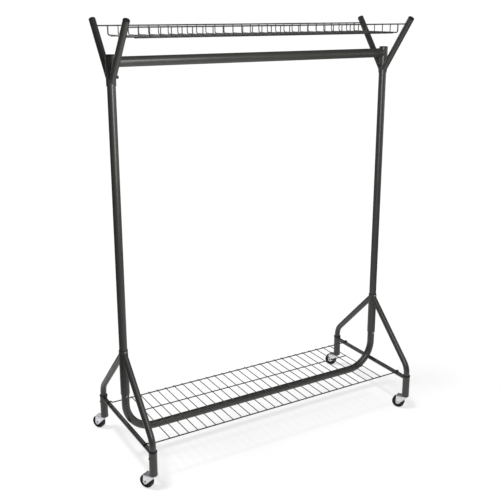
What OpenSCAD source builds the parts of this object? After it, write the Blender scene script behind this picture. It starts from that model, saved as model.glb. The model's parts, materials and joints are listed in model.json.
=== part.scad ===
// Rolling clothes rack: two tubular end frames joined by a hanging rail above and a bottom rail below,
// with a wire basket between the raised arms, a wire shoe shelf across the base and four swivel castors.
// Origin on the floor under the middle of the rack. +X runs along the rails, -Y is the front, +Z is up.

/* [Overall] */
// Distance between the two upright tubes, centre to centre
upright_span = 1220; // [900:10:1500]
// Distance between the front and back feet, centre to centre
base_depth = 510; // [440:5:640]
// Height of the hanging rail's axis above the floor
rail_height = 1545; // [1250:5:1800]

/* [Tubes] */
// Outer diameter of the uprights and the bottom rail
upright_d = 31; // [28:0.5:36]
// Outer diameter of the hanging rail
hanging_rail_d = 37; // [34:0.5:42]
// Outer diameter of the legs
leg_d = 25; // [20:0.5:26]
// Wall thickness of the plastic bushes between the legs and the foot tubes
bush_wall = 1.5; // [1:0.1:2.5]
// Outer diameter of the crossbars that carry the shelf
crossbar_d = 18; // [14:0.5:22]
// Outer diameter of the basket arms
arm_d = 25; // [20:0.5:28]
// Wall thickness of the tubes
tube_wall = 1.5; // [1:0.1:2]
// Radial gap between a tube and the tube that slides over it
slip_gap = 0.2; // [0.1:0.05:0.4]

/* [Heads] */
// Wall thickness of the head sockets and the lower sleeves
socket_wall = 2; // [1.5:0.1:3]
// How far each head socket reaches below the hanging rail's axis
socket_drop = 83; // [70:1:110]
// How far each head socket rises above the hanging rail's axis
socket_rise = 22; // [20:1:30]
// Length of the stub that the hanging rail slides onto, from the socket's axis
stub_length = 70; // [45:1:120]
// Angle of the basket arms from vertical
arm_angle = 36.5; // [25:0.5:45]
// Distance from the basket's rim to each arm's open end, along the arm
arm_overhang = 26; // [12:0.5:40]
// Height of the crossing of the arm axes above the socket's lower end
arm_root_lift = 5; // [2:1:12]
// Thickness of the caps on the arms and sockets
cap_height = 4; // [3:0.5:8]
// Depth of the cap plugs inside the tubes
cap_plug = 8; // [5:0.5:10]

/* [End frames] */
// Length of the sleeves that join the uprights to the bottom rail
sleeve_length = 184; // [150:1:220]
// Slope of the legs below horizontal
leg_slope = 45; // [38:1:55]
// Height of the legs' bends, at the corner of the tube's axis, above the foot tubes
leg_corner_lift = 43; // [40:1:60]
// Radius of the legs' bends, at the tube's axis
leg_bend_r = 70; // [45:1:90]
// Length of the foot tubes
foot_length = 92; // [80:1:120]
// Drop from the foot tube's top to the top of the crossbar
crossbar_drop = 1; // [0.5:0.5:10]
// How far the legs reach down inside the foot tubes
leg_insert = 32; // [20:1:40]
// Thickness of the flange on the leg bushes
bush_flange = 4; // [2:0.5:6]
// Drop from the crossbars' axis to the bottom rail's axis
bottom_rail_drop = 33; // [28:1:40]
// Gap between the bottom rail's bends and the crossbars they pass inside
bottom_rail_gap = 3.7; // [1:0.1:8]

/* [Wire basket] */
// Height of the basket's rim above the hanging rail's axis
rim_lift = 120; // [100:1:130]
// Depth of the basket, from the rim wire's axis to the floor wires' axis
basket_depth = 33; // [25:1:60]
// Number of U-shaped cross wires in the basket
basket_wires = 29; // [15:2:41]
// Gap between the last cross wire and the arms' axes
basket_end_gap = 50; // [35:1:80]
// Number of lengthwise wires under the basket's floor
basket_long_wires = 4; // [2:1:6]
// Inset of the outermost lengthwise floor wires from the rim
basket_long_inset = 36; // [20:1:50]
// Diameter of the rim wires and the two end cross wires
rim_wire_d = 5; // [4:0.5:6]
// Diameter of the cross wires between them
basket_wire_d = 3.6; // [2.5:0.1:5]

/* [Wire shelf] */
// Distance from the feet's axes in to the shelf's front and back wires
shelf_inset = 65; // [45:1:90]
// Drop from the crossbar's top to the shelf's edge wires
shelf_drop = 5; // [3:0.5:8]
// Number of cross wires in the shelf
shelf_wires = 27; // [15:2:39]
// Gap between the last cross wire and the crossbars' axes
shelf_end_gap = 98; // [80:1:140]
// Diameter of the shelf's front and back wires
shelf_edge_d = 5; // [4:0.5:7]
// Diameter of the shelf's two middle wires
shelf_mid_d = 4.5; // [4:0.5:6]
// Diameter of the shelf's cross wires
shelf_wire_d = 3.6; // [2.5:0.1:5]

/* [Castors] */
// Diameter of the castor wheels
wheel_d = 54; // [40:1:60]
// Width of the castor wheels
wheel_w = 22; // [16:1:26]
// Distance from the swivel axis to the axle
castor_trail = 30; // [24:1:36]
// Gap between the wheel and the fork's crown above it
crown_gap = 1.5; // [1:0.5:6]
// Direction in which the castors trail, from +X towards +Y
trail_heading = 124; // [0:1:359]
// Thickness of the fork's sheet metal
fork_sheet = 2; // [1.5:0.1:2.5]
// Side gap between the wheel and the fork
wheel_side_gap = 2; // [1:0.5:4]
// Diameter of the axle
axle_d = 6; // [5:0.5:8]
// Diameter of the pivot pin below the castor's stem
pivot_d = 8; // [6:0.5:10]
// Diameter of the castor's stem
stem_d = 10; // [8:0.5:11]
// Length of the castor's stem inside the foot tube
stem_length = 36; // [25:1:38]
// Radial running gap on the pivots and axles
running_gap = 0.08; // [0.05:0.01:0.1]

/* [Hidden] */
$fn = 48;
sides = [-1, 1];
weld_bite = 0.5;      // how deep a welded wire sinks into the next one
bend_swell = 0.04;    // how much wider a tube or wire is in its bends
bend_lap = 0.2;       // how far each straight run reaches into a bend
cut_over = 1;         // how far a cutter passes a face
axial_gap = 0.3;      // gap between faces that turn past each other
cope_gap = 0.3;       // gap between the hanging rail's shaped end and the socket

half_span = upright_span / 2;
half_base = base_depth / 2;

// Screws
screw_shank_d = 4;
screw_head_d = 8;
screw_head_h = 3;
screw_length = 7;
thumb_shank_d = 6;
thumb_head_d = 12;
thumb_head_h = 6;
thumb_neck_h = 4;

// Heads
socket_bore = upright_d + 2 * slip_gap;
socket_d = socket_bore + 2 * socket_wall;
socket_bottom = rail_height - socket_drop;
socket_top = rail_height + socket_rise;
upright_top = socket_top - cap_plug - 2;
stub_d = hanging_rail_d - 2 * tube_wall - 2 * slip_gap;
rail_side_reach = 10; // how far short of the socket's axis the rail's side walls end
arm_root_z = socket_bottom + arm_root_lift;
rim_z = rail_height + rim_lift;
arm_length = (rim_z - arm_root_z) / cos(arm_angle) + arm_overhang;

// Castors
wheel_r = wheel_d / 2;
axle_z = wheel_r;
insert_flange = 2;
race_h = 1.2;
race_d = 24;
fork_gap = wheel_w + 2 * wheel_side_gap;
fork_w = fork_gap + 2 * fork_sheet;
fork_top = wheel_d + crown_gap + fork_sheet;
race_top = fork_top + axial_gap + race_h;
fork_front = -fork_w / 2;
fork_back = castor_trail + 7;
fork_eye_r = 9;
pivot_head_d = pivot_d + 5;
pivot_head_h = 1.6;
axle_head_d = axle_d + 4;
axle_head_h = 2.2;
hub_d = wheel_d - 14;
hub_boss_d = axle_d + 8;

// Feet, crossbars and bottom rail
foot_bottom = race_top + insert_flange;
foot_top = foot_bottom + foot_length;
foot_bore = leg_d + 2 * bush_wall;
foot_d = foot_bore + 2 * tube_wall;
bush_flange_d = foot_d + 2;
crossbar_z = foot_top - crossbar_drop - crossbar_d / 2;
bottom_rail_z = crossbar_z - bottom_rail_drop;
bend_reach = (upright_d + crossbar_d) / 2 + bottom_rail_gap;
// The radius at which the bend passes the crossbar's axis at a distance of bend_reach
bottom_bend_r = bottom_rail_drop + bend_reach + sqrt(2 * bend_reach * (bottom_rail_drop + bend_reach));

// Legs and sleeves
leg_root_y = socket_d / 2;
leg_corner_z = foot_top + leg_corner_lift;
leg_root_z = leg_corner_z + (half_base - leg_root_y) * tan(leg_slope);
leg_end_z = foot_top - leg_insert;
leg_saddle_top = leg_root_z + leg_d / 2 / cos(leg_slope);
sleeve_top = leg_saddle_top + screw_head_d + 1;
sleeve_bottom = sleeve_top - sleeve_length;
bottom_rail_end = sleeve_bottom + sleeve_length / 2 - 1;
upright_bottom = bottom_rail_end + 2;

// Basket
rim_y = (rim_z - arm_root_z) * tan(arm_angle);
rim_tip_x = half_span - arm_d / 2 + 7;
basket_half = half_span - basket_end_gap;
basket_pitch = 2 * basket_half / (basket_wires - 1);
basket_floor_z = rim_z - basket_depth;
basket_bend_r = 9;
basket_long_y = rim_y - basket_long_inset;
basket_long_z = basket_floor_z - basket_wire_d + weld_bite;

// Shelf
shelf_depth = base_depth - 2 * shelf_inset;
shelf_z = crossbar_z + crossbar_d / 2 - shelf_drop;
shelf_half = half_span - shelf_end_gap;
shelf_pitch = 2 * shelf_half / (shelf_wires - 1);
hook_r = crossbar_d / 2 + shelf_edge_d / 2 + 0.1;
hook_top_z = crossbar_z + hook_r;
hook_foot_gap = 2.5;  // gap between the crossbar's side and the foot of the wire's step up
hook_bend_r = 6;
hook_wrap = 60;       // how far the wire bends down over the crossbar
hook_tail = 2;        // straight end of the wire past that bend
shelf_cross_z = shelf_z + (shelf_edge_d + shelf_wire_d) / 2 - weld_bite;
shelf_mid_z = shelf_cross_z - (shelf_mid_d + shelf_wire_d) / 2 + weld_bite;

// Heights of the screws
sleeve_screw_z = sleeve_top - screw_head_d / 2 - 0.5;
rail_screw_z = sleeve_bottom - screw_head_d / 2 - 2;
foot_screw_z = leg_end_z + screw_head_d;
thumb_z = socket_bottom + 30;

// ---- Helpers ----

function heading(v) = atan2(v[1], v[0]);
function unit(v) = v / norm(v);
function turn_of(p, i) =
    let (t = heading(p[i + 1] - p[i]) - heading(p[i] - p[i - 1]))
    t > 180 ? t - 360 : t < -180 ? t + 360 : t;
function setback(p, i, r) = i == 0 || i == len(p) - 1 ? 0 : r * tan(abs(turn_of(p, i)) / 2);

// A round rod along straight runs in the XY plane, with a bend of radius bend_r at each inner corner.
module bent_rod(points, bend_r, d, end_extra = 0) {
    last = len(points) - 1;
    for (i = [0 : last - 1]) {
        run = points[i + 1] - points[i];
        from = i == 0 ? -end_extra : setback(points, i, bend_r) - bend_lap;
        to = i == last - 1 ? -end_extra : setback(points, i + 1, bend_r) - bend_lap;
        translate(points[i] + unit(run) * from)
            rotate([0, 90, heading(run)]) cylinder(d = d, h = norm(run) - from - to);
    }
    if (last > 1) for (i = [1 : last - 1]) {
        run = unit(points[i] - points[i - 1]);
        t = turn_of(points, i);
        side = t > 0 ? 1 : -1;
        centre = points[i] - run * setback(points, i, bend_r) + side * bend_r * [-run[1], run[0]];
        translate(centre)
            rotate([0, 0, heading(run) - side * 90 + (t < 0 ? t : 0)])
                rotate_extrude(angle = abs(t)) translate([bend_r, 0]) circle(d = d + bend_swell);
    }
}

// A bent tube: the same path with a bore.
module bent_tube(points, bend_r, d, wall) {
    difference() {
        bent_rod(points, bend_r, d);
        bent_rod(points, bend_r, d - 2 * wall, cut_over);
    }
}

// Stands XY drawings up in the XZ plane or the YZ plane.
module in_xz() rotate([90, 0, 0]) children();
module in_yz() rotate([90, 0, 90]) children();

module tube(d, wall, h) {
    difference() {
        cylinder(d = d, h = h);
        translate([0, 0, -cut_over]) cylinder(d = d - 2 * wall, h = h + 2 * cut_over);
    }
}

// A cylinder along X or Y, centred on the origin.
module rod_x(d, h) rotate([0, 90, 0]) cylinder(d = d, h = h, center = true);
module rod_y(d, h) rotate([90, 0, 0]) cylinder(d = d, h = h, center = true);

// A domed screw with its head's seat at the origin and its shank along -Z.
module dome_screw(head_d = screw_head_d, head_h = screw_head_h, shank_d = screw_shank_d, length = screw_length) {
    dome_r = (head_d * head_d / 4 + head_h * head_h) / (2 * head_h);
    intersection() {
        translate([0, 0, head_h - dome_r]) sphere(r = dome_r);
        cylinder(d = head_d, h = head_h);
    }
    translate([0, 0, -length]) cylinder(d = shank_d, h = length);
}

// ---- Rails and uprights ----

module screw_hole_y(x, z, d = screw_shank_d) translate([x, -half_base, z]) rotate([-90, 0, 0]) cylinder(d = d, h = half_base);

module upright(side) color("#2a2b2a") {
    difference() {
        translate([side * half_span, 0, upright_bottom]) tube(upright_d, tube_wall, upright_top - upright_bottom);
        screw_hole_y(side * half_span, sleeve_screw_z);
    }
}

module hanging_rail() color("#2e2d2c") {
    difference() {
        translate([0, 0, rail_height]) rod_x(hanging_rail_d, 2 * (half_span - rail_side_reach));
        translate([0, 0, rail_height]) rod_x(hanging_rail_d - 2 * tube_wall, upright_span);
        for (side = sides) translate([side * half_span, 0, 0])
            translate([0, 0, socket_bottom]) cylinder(d = socket_d + 2 * cope_gap, h = 2 * socket_drop);
    }
}

module bottom_rail() color("#2c2b2a") {
    difference() {
        in_xz() bent_tube(
            [[-half_span, bottom_rail_end], [-half_span, bottom_rail_z],
             [half_span, bottom_rail_z], [half_span, bottom_rail_end]],
            bottom_bend_r, upright_d, tube_wall);
        for (side = sides) screw_hole_y(side * half_span, rail_screw_z);
    }
}

// ---- Heads ----

module head_socket(side) color("#262726") {
    difference() {
        union() {
            translate([side * half_span, 0, socket_bottom]) cylinder(d = socket_d, h = socket_top - socket_bottom);
            translate([side * (half_span - stub_length / 2), 0, rail_height]) rod_x(stub_d, stub_length);
        }
        translate([side * half_span, 0, socket_bottom - cut_over])
            cylinder(d = socket_bore, h = socket_top - socket_bottom + 2 * cut_over);
        translate([side * (half_span - stub_length), 0, rail_height])
            rod_x(stub_d - 2 * tube_wall, 2 * (stub_length - socket_bore / 2 - 1));
        translate([side * (half_span - socket_d / 2), 0, thumb_z]) rod_x(thumb_shank_d, socket_d / 2);
    }
}

module cap(d, plug_d) {
    edge_r = cap_height * 0.6;
    rotate_extrude() {
        square([d / 2 - edge_r, cap_height]);
        square([d / 2, cap_height - edge_r]);
        intersection() {
            translate([d / 2 - edge_r, cap_height - edge_r]) circle(r = edge_r);
            translate([d / 2 - edge_r, cap_height - edge_r]) square(edge_r);
        }
    }
    translate([0, 0, -cap_plug]) cylinder(d = plug_d, h = cap_plug + weld_bite);
}

module head_caps() color("#1b1b1b") {
    for (side = sides) translate([side * half_span, 0, socket_top]) cap(socket_d, socket_bore);
}

// Puts its front children at the front, or mirrors them to the back.
module to_depth(depth) mirror([0, depth > 0 ? 1 : 0, 0]) children();

// Puts its children at the front arm's root, with Z along the arm.
module at_arm(side) {
    translate([side * half_span, 0, arm_root_z]) rotate([arm_angle, 0, 0]) children();
}

module arm(side, depth) color("#2b2c2a") {
    to_depth(depth) difference() {
        at_arm(side) cylinder(d = arm_d, h = arm_length);
        at_arm(side) translate([0, 0, -cut_over]) cylinder(d = arm_d - 2 * tube_wall, h = arm_length + 2 * cut_over);
        translate([side * half_span, 0, socket_bottom - arm_d])
            cylinder(d = socket_d, h = socket_top - socket_bottom + arm_d);
        translate([side * half_span - arm_d, 0, socket_bottom - arm_d])
            cube([2 * arm_d, arm_length, arm_length]);
        translate([side * (half_span - arm_d / 2), -rim_y, rim_z]) rod_x(rim_wire_d + 0.4, arm_d);
    }
}

module arm_end_caps() color("#1b1b1b") {
    for (side = sides, depth = sides)
        to_depth(depth) at_arm(side) translate([0, 0, arm_length]) cap(arm_d, arm_d - 2 * tube_wall);
}

// ---- End frames ----

module sleeve(side) color("#282928") {
    difference() {
        translate([side * half_span, 0, sleeve_bottom]) difference() {
            cylinder(d = socket_d, h = sleeve_length);
            translate([0, 0, -cut_over]) cylinder(d = socket_bore, h = sleeve_length + 2 * cut_over);
        }
        screw_hole_y(side * half_span, sleeve_screw_z);
    }
}

module leg(side, depth) color("#353634") {
    root_lead = 20;   // how far the uncut leg starts inside the sleeve
    to_depth(depth) difference() {
        translate([side * half_span, 0, 0]) in_yz() bent_tube(
            [[root_lead - leg_root_y, leg_root_z + root_lead * tan(leg_slope)],
             [-half_base, leg_corner_z], [-half_base, leg_end_z]],
            leg_bend_r, leg_d, tube_wall);
        translate([side * half_span, 0, sleeve_bottom]) cylinder(d = socket_d, h = 2 * sleeve_length);
        translate([side * half_span - leg_d, 0, sleeve_bottom])
            cube([2 * leg_d, base_depth, 2 * sleeve_length]);
        foot_screw_hole(side, -1);
    }
}

module foot_screw_hole(side, depth) {
    translate([side * (half_span + foot_d / 2), depth * half_base, foot_screw_z]) rod_x(screw_shank_d, foot_d);
}

module foot_tube(side, depth) color("#2f302d") {
    difference() {
        translate([side * half_span, depth * half_base, foot_bottom]) tube(foot_d, tube_wall, foot_length);
        foot_screw_hole(side, depth);
    }
}

module leg_bushes() color("#161616") {
    for (side = sides, depth = sides) difference() {
        translate([side * half_span, depth * half_base, leg_end_z]) {
            cylinder(d = foot_bore, h = leg_insert);
            translate([0, 0, leg_insert]) cylinder(d = bush_flange_d, h = bush_flange);
        }
        translate([side * half_span, depth * half_base, leg_end_z - cut_over])
            cylinder(d = leg_d, h = leg_insert + bush_flange + 2 * cut_over);
        foot_screw_hole(side, depth);
    }
}

module crossbar(side) color("#242523") {
    difference() {
        translate([side * half_span, 0, crossbar_z]) rod_y(crossbar_d, base_depth);
        translate([side * half_span, 0, crossbar_z]) rod_y(crossbar_d - 2 * tube_wall, base_depth + 2 * cut_over);
        for (depth = sides) translate([side * half_span, depth * half_base, foot_bottom])
            cylinder(d = foot_d, h = foot_length);
    }
}

// ---- Wire shelf and basket ----

// Half of a shelf edge wire, from the middle to the hook over the crossbar.
module shelf_edge_half() {
    step_x = half_span - hook_r - hook_foot_gap;
    rise = hook_top_z - shelf_z;
    wrap_x = half_span + hook_r * tan(hook_wrap / 2);
    wrap_run = hook_r * tan(hook_wrap / 2) + hook_tail;
    in_xz() {
        bent_rod([[0, shelf_z], [step_x, shelf_z], [step_x + rise, hook_top_z], [half_span, hook_top_z]],
            hook_bend_r, shelf_edge_d);
        bent_rod([[half_span - 1, hook_top_z], [wrap_x, hook_top_z],
            [wrap_x + wrap_run * cos(hook_wrap), hook_top_z - wrap_run * sin(hook_wrap)]], hook_r, shelf_edge_d);
    }
}

module shoe_shelf() color("#4a4b49") {
    for (depth = sides) {
        translate([0, depth * shelf_depth / 2, 0]) {
            shelf_edge_half();
            mirror([1, 0, 0]) shelf_edge_half();
        }
        translate([0, depth * shelf_depth / 6, shelf_mid_z]) rod_x(shelf_mid_d, 2 * shelf_half + shelf_mid_d);
    }
    for (i = [0 : shelf_wires - 1])
        translate([-shelf_half + i * shelf_pitch, 0, shelf_cross_z]) rod_y(shelf_wire_d, shelf_depth + shelf_edge_d);
}

module basket_cross_wire(d) {
    wire_y = rim_y - (rim_wire_d + d) / 2 + weld_bite;
    in_yz() bent_rod([[-wire_y, rim_z], [-wire_y, basket_floor_z], [wire_y, basket_floor_z], [wire_y, rim_z]],
        basket_bend_r, d);
}

module top_basket() color("#3a3b3a") {
    for (depth = sides) translate([0, depth * rim_y, rim_z]) rod_x(rim_wire_d, 2 * rim_tip_x);
    for (i = [0 : basket_wires - 1]) translate([-basket_half + i * basket_pitch, 0, 0])
        basket_cross_wire(i == 0 || i == basket_wires - 1 ? rim_wire_d : basket_wire_d);
    for (i = [0 : basket_long_wires - 1])
        translate([0, basket_long_y * (2 * i / (basket_long_wires - 1) - 1), basket_long_z])
            rod_x(basket_wire_d, 2 * basket_half + rim_wire_d);
}

// ---- Screws ----

module head_thumb_screws() color("#1d1d1d") {
    shank = socket_d / 2 - upright_d / 2;
    for (side = sides) translate([side * (half_span - upright_d / 2), 0, thumb_z]) rotate([0, -side * 90, 0]) {
        cylinder(d = thumb_shank_d, h = shank + thumb_neck_h);
        translate([0, 0, shank + thumb_neck_h]) cylinder(d = thumb_head_d, h = thumb_head_h);
        translate([0, 0, shank]) cylinder(d = thumb_shank_d + 3, h = thumb_neck_h);
    }
}

module sleeve_screws() color("#b9bab8") {
    for (side = sides) translate([side * half_span, -socket_d / 2, sleeve_screw_z]) rotate([90, 0, 0]) dome_screw();
}

module bottom_rail_screws() color("#b9bab8") {
    for (side = sides) translate([side * half_span, -upright_d / 2, rail_screw_z]) rotate([90, 0, 0]) dome_screw();
}

module foot_screws() color("#3b3b3b") {
    for (side = sides, depth = sides)
        translate([side * (half_span + foot_d / 2), depth * half_base, foot_screw_z])
            rotate([0, side * 90, 0]) dome_screw();
}

// ---- Castors ----

// Puts its children at a foot's axis on the floor, with X along the castor's trail.
module at_castor(side, depth) {
    translate([side * half_span, depth * half_base, 0]) rotate([0, 0, trail_heading]) children();
}

module castor_inserts() color("#151515") {
    for (side = sides, depth = sides) translate([side * half_span, depth * half_base, foot_bottom]) difference() {
        union() {
            cylinder(d = foot_bore, h = stem_length + 2);
            translate([0, 0, -insert_flange]) cylinder(d = foot_d, h = insert_flange);
        }
        translate([0, 0, -insert_flange - cut_over]) cylinder(d = stem_d, h = stem_length + insert_flange + cut_over);
    }
}

module castor_stem(side, depth) color("#b5b6b8") {
    pivot_bottom = fork_top - fork_sheet - axial_gap;
    translate([side * half_span, depth * half_base, 0]) {
        translate([0, 0, race_top]) cylinder(d = stem_d, h = insert_flange + stem_length);
        translate([0, 0, race_top - race_h]) cylinder(d = race_d, h = race_h);
        translate([0, 0, pivot_bottom - pivot_head_h]) cylinder(d = pivot_head_d, h = pivot_head_h);
        translate([0, 0, pivot_bottom]) cylinder(d = pivot_d, h = race_top - race_h - pivot_bottom);
    }
}

// The point where the straight edge from p touches the circle of radius r round c, on the left or right.
function touch_point(p, c, r, side) =
    let (d = norm(c - p), a = heading(c - p) + side * asin(r / d), reach = sqrt(d * d - r * r))
    p + reach * [cos(a), sin(a)];

// A side plate of the fork, drawn in the XY plane with Y up.
module fork_side_outline() {
    axle = [castor_trail, axle_z];
    front = [fork_front + 4, fork_top - fork_sheet];
    back = [fork_back, fork_top - fork_sheet];
    polygon([
        front, touch_point(front, axle, fork_eye_r, -1), axle, touch_point(back, axle, fork_eye_r, 1), back,
        back + [0, fork_sheet], front + [0, fork_sheet]
    ]);
    translate(axle) circle(r = fork_eye_r);
}

module fork(side, depth) color("#c3c4c6") {
    at_castor(side, depth) difference() {
        union() {
            for (face = sides) translate([0, face * (fork_gap + fork_sheet) / 2, 0])
                in_xz() linear_extrude(fork_sheet, center = true) fork_side_outline();
            translate([0, 0, fork_top - fork_sheet]) cylinder(d = fork_w, h = fork_sheet);
            translate([0, -fork_w / 2, fork_top - fork_sheet]) cube([fork_back, fork_w, fork_sheet]);
        }
        translate([0, 0, fork_top - fork_sheet - cut_over])
            cylinder(d = pivot_d + 2 * running_gap, h = fork_sheet + 2 * cut_over);
        translate([castor_trail, 0, axle_z]) rod_y(axle_d, fork_w + 2 * cut_over);
    }
}

module axle(side, depth) color("#9fa0a2") {
    at_castor(side, depth) translate([castor_trail, 0, axle_z]) {
        rod_y(axle_d, fork_w);
        for (face = sides) translate([0, face * (fork_w + axle_head_h) / 2, 0]) rod_y(axle_head_d, axle_head_h);
    }
}

module wheel_hub(side, depth) color("#202020") {
    at_castor(side, depth) translate([castor_trail, 0, axle_z]) difference() {
        union() {
            rod_y(hub_d, wheel_w - 8);
            rod_y(hub_boss_d, wheel_w + 2 * (wheel_side_gap - axial_gap));
        }
        rod_y(axle_d + 2 * running_gap, 2 * wheel_w);
    }
}

module tyre(side, depth) color("#141414") {
    edge_r = 4;
    at_castor(side, depth) translate([castor_trail, 0, axle_z]) rotate([90, 0, 0]) rotate_extrude() {
        difference() {
            translate([hub_d / 2, -wheel_w / 2]) square([wheel_r - hub_d / 2, wheel_w]);
            for (face = sides) translate([wheel_r, face * wheel_w / 2]) rotate(45)
                square(edge_r * sqrt(2), center = true);
        }
    }
}

// ---- Nodes ----

upright(-1);  // left_upright
upright(1);  // right_upright
hanging_rail();
bottom_rail();
head_socket(-1);  // left_head_socket
head_socket(1);  // right_head_socket
head_caps();
arm(-1, -1);  // left_front_arm
arm(-1, 1);  // left_back_arm
arm(1, -1);  // right_front_arm
arm(1, 1);  // right_back_arm
arm_end_caps();
sleeve(-1);  // left_sleeve
sleeve(1);  // right_sleeve
leg(-1, -1);  // left_front_leg
leg(-1, 1);  // left_back_leg
leg(1, -1);  // right_front_leg
leg(1, 1);  // right_back_leg
foot_tube(-1, -1);  // left_front_foot
foot_tube(-1, 1);  // left_back_foot
foot_tube(1, -1);  // right_front_foot
foot_tube(1, 1);  // right_back_foot
leg_bushes();
crossbar(-1);  // left_crossbar
crossbar(1);  // right_crossbar
shoe_shelf();
top_basket();
head_thumb_screws();
sleeve_screws();
bottom_rail_screws();
foot_screws();
castor_inserts();
castor_stem(-1, -1);  // left_front_castor_stem
castor_stem(-1, 1);  // left_back_castor_stem
castor_stem(1, -1);  // right_front_castor_stem
castor_stem(1, 1);  // right_back_castor_stem
fork(-1, -1);  // left_front_fork
fork(-1, 1);  // left_back_fork
fork(1, -1);  // right_front_fork
fork(1, 1);  // right_back_fork
axle(-1, -1);  // left_front_axle
axle(-1, 1);  // left_back_axle
axle(1, -1);  // right_front_axle
axle(1, 1);  // right_back_axle
wheel_hub(-1, -1);  // left_front_hub
wheel_hub(-1, 1);  // left_back_hub
wheel_hub(1, -1);  // right_front_hub
wheel_hub(1, 1);  // right_back_hub
tyre(-1, -1);  // left_front_tyre
tyre(-1, 1);  // left_back_tyre
tyre(1, -1);  // right_front_tyre
tyre(1, 1);  // right_back_tyre
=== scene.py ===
import json
import math
import random

import bmesh
import bpy
from mathutils import Matrix, Vector


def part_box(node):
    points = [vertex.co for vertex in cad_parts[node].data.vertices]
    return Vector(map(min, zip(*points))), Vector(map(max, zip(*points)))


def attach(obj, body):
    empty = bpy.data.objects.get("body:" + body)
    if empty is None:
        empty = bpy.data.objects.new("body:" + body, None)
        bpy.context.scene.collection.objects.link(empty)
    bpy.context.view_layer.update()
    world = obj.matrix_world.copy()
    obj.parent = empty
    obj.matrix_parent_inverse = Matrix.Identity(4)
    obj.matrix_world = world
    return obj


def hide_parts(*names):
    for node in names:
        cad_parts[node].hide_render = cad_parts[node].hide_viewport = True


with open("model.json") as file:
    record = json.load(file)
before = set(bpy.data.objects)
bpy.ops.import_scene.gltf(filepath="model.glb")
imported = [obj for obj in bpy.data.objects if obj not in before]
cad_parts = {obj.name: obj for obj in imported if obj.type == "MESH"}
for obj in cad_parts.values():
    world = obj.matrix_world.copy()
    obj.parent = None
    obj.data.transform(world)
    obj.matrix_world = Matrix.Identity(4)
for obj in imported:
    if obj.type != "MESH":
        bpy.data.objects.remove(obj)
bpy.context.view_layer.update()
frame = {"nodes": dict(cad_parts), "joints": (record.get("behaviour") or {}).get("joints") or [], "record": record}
record = frame["record"]
nodes = frame["nodes"]

Z = Vector((0, 0, 1))
ARM_ANGLE = math.radians(36.5)   # the basket arms, from vertical
LEG_SLOPE = math.radians(45)     # the legs, from level
SHELF_END_GAP = 0.098            # from the uprights' axes to the shelf's end wires
BASKET_END_GAP = 0.050           # from the uprights' axes to the basket's end wires
SHELF_WIRES = 27
BASKET_WIRES = 29


# ---- Materials ----

def new_material(name):
    m = bpy.data.materials.new(name)
    m.use_nodes = True
    return m, m.node_tree.nodes, m.node_tree.links, m.node_tree.nodes["Principled BSDF"]


def noise(ns, ls, scale, detail=3.0, rough=0.55, stretch=None):
    tc = ns.new("ShaderNodeTexCoord")
    tex = ns.new("ShaderNodeTexNoise")
    tex.inputs["Scale"].default_value = scale
    tex.inputs["Detail"].default_value = detail
    tex.inputs["Roughness"].default_value = rough
    if stretch:
        mp = ns.new("ShaderNodeMapping")
        mp.inputs["Scale"].default_value = stretch
        ls.new(tc.outputs["Object"], mp.inputs["Vector"])
        ls.new(mp.outputs["Vector"], tex.inputs["Vector"])
    else:
        ls.new(tc.outputs["Object"], tex.inputs["Vector"])
    return tex


def ramp(ns, ls, source, stops):
    r = ns.new("ShaderNodeValToRGB")
    e = r.color_ramp.elements
    while len(e) < len(stops):
        e.new(0.5)
    for el, (pos, col) in zip(e, stops):
        el.position = pos
        el.color = (*col, 1) if isinstance(col, tuple) else (col, col, col, 1)
    ls.new(source, r.inputs["Fac"])
    return r


def bump(ns, ls, bsdf, heights):
    """Chains (texture output, strength, distance) bumps into the shader's normal."""
    last = None
    for out, s, d in heights:
        b = ns.new("ShaderNodeBump")
        b.inputs["Strength"].default_value = s
        b.inputs["Distance"].default_value = d
        ls.new(out, b.inputs["Height"])
        if last:
            ls.new(last.outputs["Normal"], b.inputs["Normal"])
        last = b
    ls.new(last.outputs["Normal"], bsdf.inputs["Normal"])


def powder_coat(name, dark, light, rough=(0.30, 0.42), spec=0.5):
    """Satin powder coat: an even dark film with fine orange peel and faint dust."""
    m, ns, ls, b = new_material(name)
    tone = noise(ns, ls, 7.0, 4.0, 0.6)
    col = ramp(ns, ls, tone.outputs["Fac"], [(0.25, dark), (0.8, light)])
    ls.new(col.outputs["Color"], b.inputs["Base Color"])
    mottle = noise(ns, ls, 60.0, 4.0, 0.65)
    r = ramp(ns, ls, mottle.outputs["Fac"], [(0.3, rough[0]), (0.75, rough[1])])
    ls.new(r.outputs["Color"], b.inputs["Roughness"])
    b.inputs["Specular IOR Level"].default_value = spec
    peel = noise(ns, ls, 620.0, 2.0, 0.5)
    grit = noise(ns, ls, 2600.0, 2.0, 0.5)
    bump(ns, ls, b, [(peel.outputs["Fac"], 0.22, 0.0003), (grit.outputs["Fac"], 0.12, 0.0001)])
    return m


def plated(name, base, dark, rough=(0.24, 0.42)):
    """Bright zinc: a thin, slightly cloudy metal skin with a little haze."""
    m, ns, ls, b = new_material(name)
    b.inputs["Metallic"].default_value = 1.0
    cloud = noise(ns, ls, 90.0, 5.0, 0.6)
    col = ramp(ns, ls, cloud.outputs["Fac"], [(0.3, dark), (0.65, base)])
    ls.new(col.outputs["Color"], b.inputs["Base Color"])
    haze = noise(ns, ls, 240.0, 4.0, 0.6)
    r = ramp(ns, ls, haze.outputs["Fac"], [(0.3, rough[0]), (0.75, rough[1])])
    ls.new(r.outputs["Color"], b.inputs["Roughness"])
    fine = noise(ns, ls, 1400.0, 3.0, 0.5)
    bump(ns, ls, b, [(fine.outputs["Fac"], 0.1, 0.0001)])
    return m


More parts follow.
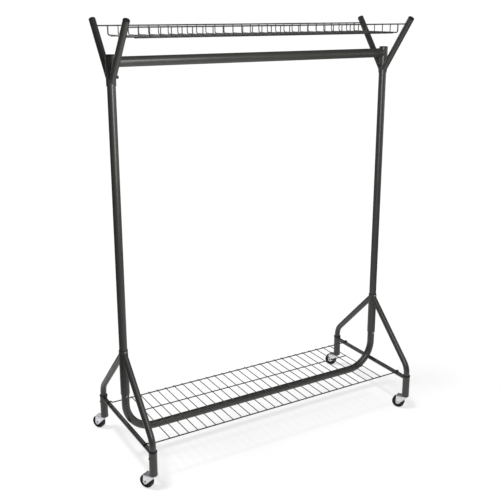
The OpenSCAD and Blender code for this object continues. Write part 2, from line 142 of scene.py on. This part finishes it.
def moulded(name, dark, light, rough=(0.45, 0.6), spec=0.4, grain=1800.0):
    """Moulded plastic or rubber: fine grain, slightly uneven sheen."""
    m, ns, ls, b = new_material(name)
    tone = noise(ns, ls, 45.0, 3.0, 0.6)
    col = ramp(ns, ls, tone.outputs["Fac"], [(0.3, dark), (0.75, light)])
    ls.new(col.outputs["Color"], b.inputs["Base Color"])
    haze = noise(ns, ls, 180.0, 4.0, 0.6)
    r = ramp(ns, ls, haze.outputs["Fac"], [(0.3, rough[0]), (0.75, rough[1])])
    ls.new(r.outputs["Color"], b.inputs["Roughness"])
    b.inputs["Specular IOR Level"].default_value = spec
    g = noise(ns, ls, grain, 2.0, 0.5)
    bump(ns, ls, b, [(g.outputs["Fac"], 0.25, 0.0001)])
    return m


MAT = {
    "frame_paint": powder_coat("frame_powder_coat", (0.030, 0.031, 0.027), (0.040, 0.041, 0.036)),
    "wire_paint": powder_coat("wire_powder_coat", (0.018, 0.019, 0.017), (0.027, 0.028, 0.025)),
    "cap_plastic": moulded("cap_plastic_grain", (0.008, 0.008, 0.008), (0.013, 0.013, 0.013)),
    "screw_zinc": plated("screw_zinc_plate", (0.62, 0.62, 0.60), (0.45, 0.45, 0.44)),
    "screw_black": moulded("screw_black_finish", (0.010, 0.010, 0.010), (0.016, 0.016, 0.016), (0.35, 0.5)),
    "castor_zinc": plated("castor_zinc_plate", (0.74, 0.75, 0.77), (0.58, 0.59, 0.61), (0.22, 0.38)),
    "axle_steel": plated("axle_steel_rivet", (0.62, 0.62, 0.63), (0.48, 0.48, 0.49), (0.2, 0.34)),
    "hub_plastic": moulded("hub_plastic_grain", (0.014, 0.014, 0.015), (0.02, 0.02, 0.021), (0.38, 0.5)),
    "tyre": moulded("tyre_rubber", (0.009, 0.009, 0.009), (0.015, 0.015, 0.015), (0.55, 0.7), 0.3, 1200.0),
}

slot_of = {s["node"]: s["material_slot"] for s in record["subparts"]}
for n, o in nodes.items():
    o.data.materials.clear()
    o.data.materials.append(MAT[slot_of[n]])


# ---- Detail pieces ----

def add_piece(name, bm, body, slot, smooth=True):
    bmesh.ops.recalc_face_normals(bm, faces=bm.faces)
    me = bpy.data.meshes.new(name)
    bm.to_mesh(me)
    bm.free()
    for p in me.polygons:
        p.use_smooth = smooth
    o = bpy.data.objects.new(name, me)
    bpy.context.scene.collection.objects.link(o)
    me.materials.append(MAT[slot])
    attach(o, body)
    return o


def sweep_loop(bm, path, radius, segments=10, squash=1.0):
    """A closed bead along a closed path; radius(i) gives each ring's size."""
    n = len(path)
    rings = []
    side = None
    for i in range(n):
        t = (path[(i + 1) % n] - path[i - 1]).normalized()
        if side is None:
            side = t.orthogonal().normalized()
        side = (side - side.dot(t) * t).normalized()
        other = t.cross(side)
        r = radius(i)
        rings.append([bm.verts.new(path[i] + r * (math.cos(a) * side + squash * math.sin(a) * other))
                      for a in (2 * math.pi * k / segments for k in range(segments))])
    # the last ring may be turned against the first, so the join starts from its nearest vertex
    first, last = rings[0], rings[-1]
    shift = min(range(segments), key=lambda s: (last[0].co - first[s].co).length)
    for a, b, s in [(rings[i], rings[i + 1], 0) for i in range(n - 1)] + [(last, first, shift)]:
        for k in range(segments):
            bm.faces.new((a[k], a[(k + 1) % segments], b[(k + 1 + s) % segments], b[(k + s) % segments]))


def ripple(i, n, base, seed):
    """A weld bead's uneven width: overlapping puddles and a slow drift."""
    puddles = 0.13 * abs(math.sin(math.pi * i * 0.5))
    drift = 0.1 * math.sin(2 * math.pi * (3 * i / n + seed))
    return base * (1 + puddles + drift)


def saddle(centre, host_r, start, direction, tube_r, steps=72):
    """Where a round tube along direction meets a vertical round tube through centre."""
    u = direction.normalized()
    e1 = u.orthogonal().normalized()
    if abs(u.x) < 0.5:
        e1 = Vector((1, 0, 0))
    e2 = u.cross(e1).normalized()
    pts = []
    for k in range(steps):
        a = 2 * math.pi * k / steps
        p = start + tube_r * (math.cos(a) * e1 + math.sin(a) * e2)
        rel = Vector((p.x - centre.x, p.y - centre.y))
        d = Vector((u.x, u.y))
        aa, bb, cc = d.dot(d), 2 * rel.dot(d), rel.dot(rel) - host_r * host_r
        disc = max(bb * bb - 4 * aa * cc, 0)
        pts.append(p + u * ((-bb + math.sqrt(disc)) / (2 * aa)))
    return pts


def box_size(node):
    lo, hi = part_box(node)
    return Vector(lo), Vector(hi)


def middle(node):
    lo, hi = box_size(node)
    return (lo + hi) / 2


def tube_radius(node):
    """Half the width along X of a tube that stands upright or lies along Y."""
    lo, hi = box_size(node)
    return (hi.x - lo.x) / 2


ends = [("left", -1), ("right", 1)]
depths = [("front", -1), ("back", 1)]


def make_weld_beads():
    """Beads where arms, legs and crossbars meet the tubes they are welded to."""
    for side_name, side in ends:
        host_r = tube_radius(side_name + "_sleeve")
        centre = middle(side_name + "_sleeve")
        bm_top, bm_low, bm_foot = bmesh.new(), bmesh.new(), bmesh.new()
        for depth_name, depth in depths:
            lo, hi = box_size(f"{side_name}_{depth_name}_leg")
            r = (hi.x - lo.x) / 2
            start = Vector((centre.x, depth * host_r, hi.z - r / math.cos(LEG_SLOPE)))
            way = Vector((0, depth * math.cos(LEG_SLOPE), -math.sin(LEG_SLOPE)))
            path = saddle(centre, host_r, start, way, r)
            sweep_loop(bm_low, path, lambda i, n=len(path), s=0.1 + depth: ripple(i, n, 0.0013, s))
            lo, hi = box_size(f"{side_name}_{depth_name}_arm")
            r = (hi.x - lo.x) / 2
            tip_y = max(abs(lo.y), abs(hi.y)) - r * math.cos(ARM_ANGLE)
            tip = Vector((centre.x, depth * tip_y, hi.z - r * math.sin(ARM_ANGLE)))
            way = Vector((0, depth * math.sin(ARM_ANGLE), math.cos(ARM_ANGLE)))
            start = tip - way * (tip_y / math.sin(ARM_ANGLE))
            path = saddle(centre, host_r, start, way, r)
            sweep_loop(bm_top, path, lambda i, n=len(path), s=0.4 + depth: ripple(i, n, 0.0013, s))
            foot_node = f"{side_name}_{depth_name}_foot"
            foot = middle(foot_node)
            crossbar = side_name + "_crossbar"
            start = Vector((foot.x, foot.y, middle(crossbar).z))
            inward = Vector((0, -depth, 0))
            path = saddle(foot, tube_radius(foot_node), start, inward, tube_radius(crossbar), 48)
            sweep_loop(bm_foot, path, lambda i, n=len(path), s=0.7 + depth: ripple(i, n, 0.0009, s), 8)
        add_piece(side_name + "_arm_welds", bm_top, "rack", "frame_paint")
        add_piece(side_name + "_leg_welds", bm_low, "rack", "frame_paint")
        add_piece(side_name + "_crossbar_welds", bm_foot, "rack", "frame_paint")


def nugget(bm, at, size, rng):
    """One resistance-weld nugget: a small flattened, slightly uneven blob."""
    made = bmesh.ops.create_icosphere(bm, subdivisions=2, radius=1.0)
    for v in made["verts"]:
        k = 1 + 0.12 * math.sin(5 * v.co.x + 3 * v.co.y + rng.random() * 0.6)
        v.co = Vector((v.co.x * size.x * k, v.co.y * size.y * k, v.co.z * size.z * k)) + at


def make_wire_welds():
    rng = random.Random(7)
    lo, hi = box_size("shoe_shelf")
    half_span = middle("right_upright").x
    bm = bmesh.new()
    edge_y = hi.y - 0.0025
    shelf_half = half_span - SHELF_END_GAP
    shelf_drop, weld_rise = 0.005, 0.0022   # crossbar's top to the edge wires' axis; axis to the weld
    z = box_size("left_crossbar")[1].z - shelf_drop + weld_rise
    for i in range(SHELF_WIRES):
        x = -shelf_half + i * 2 * shelf_half / (SHELF_WIRES - 1)
        for y in (-edge_y, edge_y):
            nugget(bm, Vector((x, y, z)), Vector((0.0030, 0.0026, 0.0022)), rng)
        for y in (-edge_y / 3, edge_y / 3):
            nugget(bm, Vector((x, y, z)), Vector((0.0025, 0.0022, 0.0020)), rng)
    add_piece("shelf_wire_welds", bm, "rack", "wire_paint")
    # Basket: the cross wires' tops on the rims, and the long wires under its floor
    lo, hi = box_size("top_basket")
    rim_r, wire_r = 0.0025, 0.0018
    rim_y, rim_z = hi.y - rim_r, hi.z - rim_r
    long_z = lo.z + wire_r
    basket_half = half_span - BASKET_END_GAP
    long_inset = 0.036               # from the rims in to the outer lengthwise wires
    bm = bmesh.new()
    for i in range(BASKET_WIRES):
        x = -basket_half + i * 2 * basket_half / (BASKET_WIRES - 1)
        for depth in (-1, 1):
            at = Vector((x, depth * (rim_y - rim_r + 0.0002), rim_z - 0.0004))
            nugget(bm, at, Vector((0.0029, 0.0022, 0.0026)), rng)
        for k in range(4):
            y = (rim_y - long_inset) * (2 * k / 3 - 1)
            nugget(bm, Vector((x, y, long_z + wire_r)), Vector((0.0024, 0.0024, 0.0018)), rng)
    add_piece("basket_wire_welds", bm, "rack", "wire_paint")


def plate_outline(trail, axle_z, top_z, front_x, back_x, eye_r, inset, steps=14):
    """The fork plate's outline in its own plane (along the trail, up), drawn inset from the edge."""
    axle = Vector((trail, axle_z))
    eye = eye_r - inset

    def touch(p, side):
        d = axle - p
        a = math.atan2(d.y, d.x) + side * math.asin(eye / d.length)
        reach = math.sqrt(d.length ** 2 - eye ** 2)
        return p + reach * Vector((math.cos(a), math.sin(a)))

    front = Vector((front_x + 1.6 * inset, top_z - inset))
    back = Vector((back_x - inset, top_z - inset))
    a, b = touch(front, -1), touch(back, 1)
    start = math.atan2(a.y - axle_z, a.x - trail)
    end = math.atan2(b.y - axle_z, b.x - trail)
    while end < start:
        end += 2 * math.pi
    pts = [axle + eye * Vector((math.cos(t), math.sin(t)))
           for t in (start + (end - start) * k / steps for k in range(steps + 1))]
    corners = [front, *pts, back]
    out = []
    for i, p in enumerate(corners):
        q = corners[(i + 1) % len(corners)]
        n = max(1, int((q - p).length / 0.002))
        out += [p.lerp(q, k / n) for k in range(n)]
    return out


def make_castor(foot):
    swivel = next(j for j in frame["joints"] if j["name"] == foot + "_swivel")
    roll = next(j for j in frame["joints"] if j["name"] == foot + "_roll")
    pivot, axle = Vector(swivel["pos_m"]), Vector(roll["pos_m"])
    along = Vector((axle.x - pivot.x, axle.y - pivot.y, 0))
    trail = along.length
    along.normalize()
    across = Vector(roll["axis"]).normalized()
    base = Vector((pivot.x, pivot.y, 0))
    fork_top = box_size(foot + "_fork")[1].z
    half_w = 0.015

    def place(x, y, z):
        return base + along * x + across * y + Z * z

    # Pressed border on both cheeks of the fork
    bm = bmesh.new()
    outline = plate_outline(trail, axle.z, fork_top - 0.001, -half_w + 0.004, trail + 0.007, 0.009, 0.0017)
    for face in (-1, 1):
        path = [place(p.x, face * (half_w + 0.0001), p.y) for p in outline]
        sweep_loop(bm, path, lambda i: 0.0011, 8)
    add_piece(foot + "_fork_pressing", bm, foot + "_castor", "castor_zinc")

    # Sheet apron that joins the cheeks in front of the wheel
    bm = bmesh.new()
    rows, cols = 10, 12
    wheel_r = axle.z
    skins = []
    for r_off in (0.0022, 0.0036):
        grid = []
        for i in range(rows + 1):
            a = math.radians(100 + 38 * i / rows)
            rr = wheel_r + r_off
            grid.append([bm.verts.new(place(trail + rr * math.cos(a), (half_w - 0.001) * (2 * k / cols - 1),
                                            axle.z + rr * math.sin(a) - (0.0004 if i == 0 else 0)))
                         for k in range(cols + 1)])
        skins.append(grid)
    inner, outer = skins
    for i in range(rows):
        for k in range(cols):
            bm.faces.new((inner[i][k], inner[i][k + 1], inner[i + 1][k + 1], inner[i + 1][k]))
            bm.faces.new((outer[i][k], outer[i + 1][k], outer[i + 1][k + 1], outer[i][k + 1]))
    for i in range(rows):
        bm.faces.new((inner[i][0], inner[i + 1][0], outer[i + 1][0], outer[i][0]))
        bm.faces.new((inner[i][cols], outer[i][cols], outer[i + 1][cols], inner[i + 1][cols]))
    for k in range(cols):
        bm.faces.new((inner[0][k], outer[0][k], outer[0][k + 1], inner[0][k + 1]))
        bm.faces.new((inner[rows][k], inner[rows][k + 1], outer[rows][k + 1], outer[rows][k]))
    add_piece(foot + "_fork_apron", bm, foot + "_castor", "castor_zinc")

    # Domed and dimpled rivet faces on the axle's ends
    bm = bmesh.new()
    for face in (-1, 1):
        y0 = face * (half_w + 0.0021)
        profile = [(0.0044, 0), (0.0042, 0.0005), (0.0034, 0.0009),
                   (0.0024, 0.0010), (0.0018, 0.0006), (0.0010, 0.0003)]
        rings = [[bm.verts.new(place(trail + r * math.cos(t), y0 + face * h, axle.z + r * math.sin(t)))
                  for t in (2 * math.pi * k / 24 for k in range(24))] for r, h in profile]
        for a, b in zip(rings, rings[1:]):
            for k in range(24):
                bm.faces.new((a[k], a[(k + 1) % 24], b[(k + 1) % 24], b[k]))
        bm.faces.new(rings[-1])
        bm.faces.new(rings[0])
    add_piece(foot + "_axle_rivets", bm, foot + "_castor", "axle_steel")

    # Raised ring and ribs on the wheel's sides
    bm = bmesh.new()
    for face in (-1, 1):
        for ring_r, bead in ((0.0214, 0.0006), (0.0188, 0.0008)):
            path = [place(trail + ring_r * math.cos(t), face * 0.0109 if ring_r > 0.02 else face * 0.0108,
                          axle.z + ring_r * math.sin(t)) for t in (2 * math.pi * k / 64 for k in range(64))]
            sweep_loop(bm, path, lambda i, b=bead: b, 8)
    add_piece(foot + "_wheel_rings", bm, foot + "_wheel", "tyre")
    bm = bmesh.new()
    for face in (-1, 1):
        for k in range(8):
            a = 2 * math.pi * (k + 0.5) / 8
            radial = Vector((math.cos(a), math.sin(a)))
            tang = Vector((-radial.y, radial.x))
            corners = []
            for r0, w0, d0 in ((0.0068, 0.0011, 0.0112), (0.0195, 0.0009, 0.0100)):
                for w in (-w0, w0):
                    for d in (0.0068, d0):
                        p = radial * r0 + tang * w
                        corners.append(bm.verts.new(place(trail + p.x, face * d, axle.z + p.y)))
            a0, a1, b0, b1, c0, c1, d0, d1 = corners
            for quad in ((a1, b1, d1, c1), (a0, c0, d0, b0), (a0, a1, c1, c0), (b0, d0, d1, b1),
                         (a0, b0, b1, a1), (c0, c1, d1, d0)):
                bm.faces.new(quad)
    ribs = add_piece(foot + "_wheel_ribs", bm, foot + "_wheel", "hub_plastic", smooth=False)
    mod = ribs.modifiers.new("soft_edges", "BEVEL")
    mod.width = 0.0003
    mod.segments = 2


def cross_screw(bm, seat, out, head_r, head_h, shank_r, shank_l):
    """A domed screw with a cross recess, standing on seat and facing out."""
    e1 = Z.cross(out).normalized()
    e2 = out.cross(e1)
    dome_r = (head_r ** 2 + head_h ** 2) / (2 * head_h)
    n_r, n_a = 22, 72

    def depth(x, y):
        arm = 0.55 * head_r
        wide = 0.13 * head_r
        inside = min(1, max(0, (wide - min(abs(x), abs(y))) / (0.07 * head_r)))
        end = min(1, max(0, (arm - max(abs(x), abs(y))) / (0.1 * head_r)))
        return 0.34 * head_h * inside * end

    rings = []
    for i in range(1, n_r + 1):
        r = head_r * i / n_r
        ring = []
        for k in range(n_a):
            a = 2 * math.pi * k / n_a
            x, y = r * math.cos(a), r * math.sin(a)
            h = head_h - dome_r + math.sqrt(max(dome_r ** 2 - r * r, 0)) - depth(x, y)
            ring.append(bm.verts.new(seat + e1 * x + e2 * y + out * max(h, 0)))
        rings.append(ring)
    mid = bm.verts.new(seat + out * (head_h - 0.34 * head_h))
    for k in range(n_a):
        bm.faces.new((mid, rings[0][k], rings[0][(k + 1) % n_a]))
    for a, b in zip(rings, rings[1:]):
        for k in range(n_a):
            bm.faces.new((a[k], b[k], b[(k + 1) % n_a], a[(k + 1) % n_a]))
    rim = [bm.verts.new(v.co - out * 0.0001) for v in rings[-1]]
    shank_top = [bm.verts.new(seat + (v.co - seat) * (shank_r / head_r) - out * 0.0001) for v in rings[-1]]
    shank_end = [bm.verts.new(v.co - out * shank_l) for v in shank_top]
    for a, b in ((rings[-1], rim), (rim, shank_top), (shank_top, shank_end)):
        for k in range(n_a):
            bm.faces.new((a[k], b[k], b[(k + 1) % n_a], a[(k + 1) % n_a]))
    bm.faces.new(shank_end)


SCREW = (0.00395, 0.0029, 0.0019, 0.0065)   # head radius and height, shank radius and length
HEAD_STAND = 0.003                          # from the head's seat to the CAD screw's outer face


def make_screws():
    half_span = middle("right_upright").x
    for node in ("sleeve_screws", "bottom_rail_screws"):
        lo, hi = box_size(node)
        z = (lo.z + hi.z) / 2
        seat_y = lo.y + HEAD_STAND
        bm = bmesh.new()
        for side in (-1, 1):
            cross_screw(bm, Vector((side * half_span, seat_y, z)), Vector((0, -1, 0)), *SCREW)
        o = add_piece(node + "_detailed", bm, "rack", "screw_zinc")
        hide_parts(node)
    lo, hi = box_size("foot_screws")
    z = (lo.z + hi.z) / 2
    foot_y = abs(middle("right_front_foot").y)
    bm = bmesh.new()
    for side in (-1, 1):
        for depth in (-1, 1):
            seat = Vector((side * (hi.x - HEAD_STAND), depth * foot_y, z))
            cross_screw(bm, seat, Vector((side, 0, 0)), *SCREW)
    o = add_piece("foot_screws_detailed", bm, "rack", "screw_black")
    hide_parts("foot_screws")


def make_thumb_knobs():
    """Ridged knobs for the two head screws."""
    lo, hi = box_size("head_thumb_screws")
    z = (lo.z + hi.z) / 2
    half_span = middle("right_upright").x
    socket_r = tube_radius("right_sleeve")
    tube_r = tube_radius("right_upright")
    bm = bmesh.new()
    for side in (-1, 1):
        def at(d, r, a):
            return Vector((side * (half_span - d), r * math.cos(a), z + r * math.sin(a)))
        # distance from the upright's axis, radius, whether the grip's ridges cut it
        profile = [(tube_r, 0.0028, 0), (socket_r, 0.0028, 0), (socket_r, 0.0043, 0),
                   (socket_r + 0.0036, 0.0043, 0), (socket_r + 0.0042, 0.0047, 0),
                   (socket_r + 0.0045, 0.0054, 1), (socket_r + 0.0052, 0.0058, 1),
                   (socket_r + 0.0090, 0.0058, 1), (socket_r + 0.0096, 0.0053, 1),
                   (socket_r + 0.0099, 0.0040, 0), (socket_r + 0.0096, 0.0030, 0),
                   (socket_r + 0.0096, 0.0008, 0)]
        n = 96
        rings = []
        for d, r, ridged in profile:
            rings.append([bm.verts.new(at(d, r * (1 - (0.035 * (1 + math.cos(16 * a)) if ridged else 0)), a))
                          for a in (2 * math.pi * k / n for k in range(n))])
        for a, b in zip(rings, rings[1:]):
            for k in range(n):
                bm.faces.new((a[k], a[(k + 1) % n], b[(k + 1) % n], b[k]))
        bm.faces.new(rings[-1])
        bm.faces.new(rings[0])
    o = add_piece("head_thumb_knobs", bm, "rack", "screw_black")
    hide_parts("head_thumb_screws")


def make_cap_rings():
    """A shallow moulded ring and centre gate mark on each plastic cap."""
    bm = bmesh.new()
    tops = []
    for side_name, side in ends:
        x = side * middle("right_sleeve").x
        tops.append((Vector((x, 0, box_size("head_caps")[1].z)), Z, 0.0105))
        for depth_name, depth in depths:
            lo, hi = box_size(f"{side_name}_{depth_name}_arm")
            r = (hi.x - lo.x) / 2
            out = Vector((0, depth * math.sin(ARM_ANGLE), math.cos(ARM_ANGLE)))
            tip_y = max(abs(lo.y), abs(hi.y)) - r * math.cos(ARM_ANGLE)
            tip = Vector((x, depth * tip_y, hi.z - r * math.sin(ARM_ANGLE)))
            tops.append((tip + out * 0.004, out, 0.0072))
    for at, out, ring_r in tops:
        e1 = Vector((1, 0, 0))
        e2 = out.cross(e1)
        for rr, bead in ((ring_r, 0.0004), (0.0011, 0.0005)):
            path = [at - out * 0.0001 + rr * (math.cos(t) * e1 + math.sin(t) * e2)
                    for t in (2 * math.pi * k / 40 for k in range(40))]
            sweep_loop(bm, path, lambda i, b=bead: b, 6)
    add_piece("cap_rings", bm, "rack", "cap_plastic")


make_weld_beads()
make_wire_welds()
for side_name, side in ends:
    for depth_name, depth in depths:
        make_castor(f"{side_name}_{depth_name}")
make_screws()
make_thumb_knobs()
make_cap_rings()


# ---- Floor, light and camera ----

def area(name, loc, target, size, power, height=None):
    """A soft box, unseen by the camera itself; with a height it is an upright strip."""
    d = bpy.data.lights.new(name, "AREA")
    d.shape = "RECTANGLE"
    d.size = size
    d.size_y = height or size
    d.energy = power
    o = bpy.data.objects.new(name, d)
    bpy.context.scene.collection.objects.link(o)
    o.location = loc
    o.rotation_euler = (Vector(target) - Vector(loc)).to_track_quat("-Z", "Y").to_euler()
    o.visible_camera = False
    o.light_linking.receiver_collection = not_floor
    return o


def floor_paper():
    m, ns, ls, b = new_material("floor_paper")
    t = noise(ns, ls, 3.0, 3.0, 0.5)
    col = ramp(ns, ls, t.outputs["Fac"], [(0.3, (0.80, 0.80, 0.80)), (0.7, (0.82, 0.82, 0.82))])
    ls.new(col.outputs["Color"], b.inputs["Base Color"])
    b.inputs["Roughness"].default_value = 0.9
    b.inputs["Specular IOR Level"].default_value = 0.1
    b.inputs["Emission Color"].default_value = (1, 1, 1, 1)
    b.inputs["Emission Strength"].default_value = 0.68
    return m


def floor_ring(name, inner, outer, material, segments=96):
    """A flat ring of floor; with no inner radius it is a whole disc."""
    bm = bmesh.new()
    rim = bmesh.ops.create_circle(bm, cap_ends=inner == 0, radius=outer, segments=segments)["verts"]
    if inner:
        hole = bmesh.ops.create_circle(bm, cap_ends=False, radius=inner, segments=segments)["verts"]
        for i in range(segments):
            j = (i + 1) % segments
            bm.faces.new((rim[i], rim[j], hole[j], hole[i]))
    me = bpy.data.meshes.new(name)
    bm.to_mesh(me)
    bm.free()
    me.materials.append(material)
    o = bpy.data.objects.new(name, me)
    bpy.context.scene.collection.objects.link(o)
    return o


def make_floor(near=1.2, far=40.0):
    """White paper under the rack, and more of it to the horizon that doesn't show in the paint."""
    paper = floor_paper()
    close = floor_ring("floor", 0, near, paper)
    beyond = floor_ring("floor_beyond", near, far, paper)
    beyond.visible_diffuse = False
    beyond.visible_glossy = False
    return close, beyond


def make_floor_light(floors):
    """A high, soft lamp that only the floor receives, for the rack's faint shadow."""
    d = bpy.data.lights.new("floor_lamp", "SUN")
    d.energy = 0.8
    d.angle = math.radians(11)
    o = bpy.data.objects.new("floor_lamp", d)
    bpy.context.scene.collection.objects.link(o)
    o.rotation_euler = Vector((0.25, -0.05, -1.0)).to_track_quat("-Z", "Y").to_euler()
    group = bpy.data.collections.new("floor_only")
    for f in floors:
        group.objects.link(f)
    o.light_linking.receiver_collection = group


def make_world():
    """A dim room round a white backdrop: the camera sees the white, the lighting the dim room."""
    w = bpy.data.worlds.new("studio")
    bpy.context.scene.world = w
    w.use_nodes = True
    ns, ls = w.node_tree.nodes, w.node_tree.links
    room = ns["Background"]
    room.inputs["Color"].default_value = (1, 1, 1, 1)
    room.inputs["Strength"].default_value = 0.18
    seen = ns.new("ShaderNodeBackground")
    seen.inputs["Color"].default_value = (1, 1, 1, 1)
    seen.inputs["Strength"].default_value = 1.0
    path = ns.new("ShaderNodeLightPath")
    mix = ns.new("ShaderNodeMixShader")
    ls.new(path.outputs["Is Camera Ray"], mix.inputs["Fac"])
    ls.new(room.outputs["Background"], mix.inputs[1])
    ls.new(seen.outputs["Background"], mix.inputs[2])
    ls.new(mix.outputs["Shader"], ns["World Output"].inputs["Surface"])


def make_camera():
    yaw, pitch, roll = math.radians(30.59), math.radians(15.37), math.radians(0.04)
    fwd = Vector((math.sin(yaw) * math.cos(pitch), math.cos(yaw) * math.cos(pitch), -math.sin(pitch)))
    flat_right = Vector((math.cos(yaw), -math.sin(yaw), 0))
    level_up = flat_right.cross(fwd)
    right = math.cos(roll) * flat_right + math.sin(roll) * level_up
    up = right.cross(fwd)
    d = bpy.data.cameras.new("camera")
    d.lens = 56.8
    d.sensor_width = 36.0
    d.shift_y = -0.05
    d.clip_end = 200
    o = bpy.data.objects.new("camera", d)
    bpy.context.scene.collection.objects.link(o)
    m = Matrix((right, up, -fwd)).transposed().to_4x4()
    m.translation = Vector((-1.613, -2.652, 1.726))
    o.matrix_world = m
    bpy.context.scene.camera = o


floors = make_floor()
make_floor_light(floors)
not_floor = bpy.data.collections.new("not_floor")
for f in floors:
    not_floor.objects.link(f)
for linked in not_floor.collection_objects:
    linked.light_linking.link_state = "EXCLUDE"
make_world()
make_camera()
area("key_strip", (-0.45, -1.35, 1.45), (-0.2, 0.0, 1.45), 0.26, 21, height=1.1)
area("rail_softbox", (0.10, -1.35, 1.95), (-0.40, 0, 1.545), 0.32, 8)
area("right_fill", (2.6, -1.4, 1.4), (0.2, 0, 0.9), 1.4, 14)
area("back_fill", (-0.6, 2.8, 2.2), (0, 0, 0.9), 1.6, 22)
bpy.context.scene.view_settings.view_transform = "Standard"
bpy.context.scene.view_settings.look = "None"
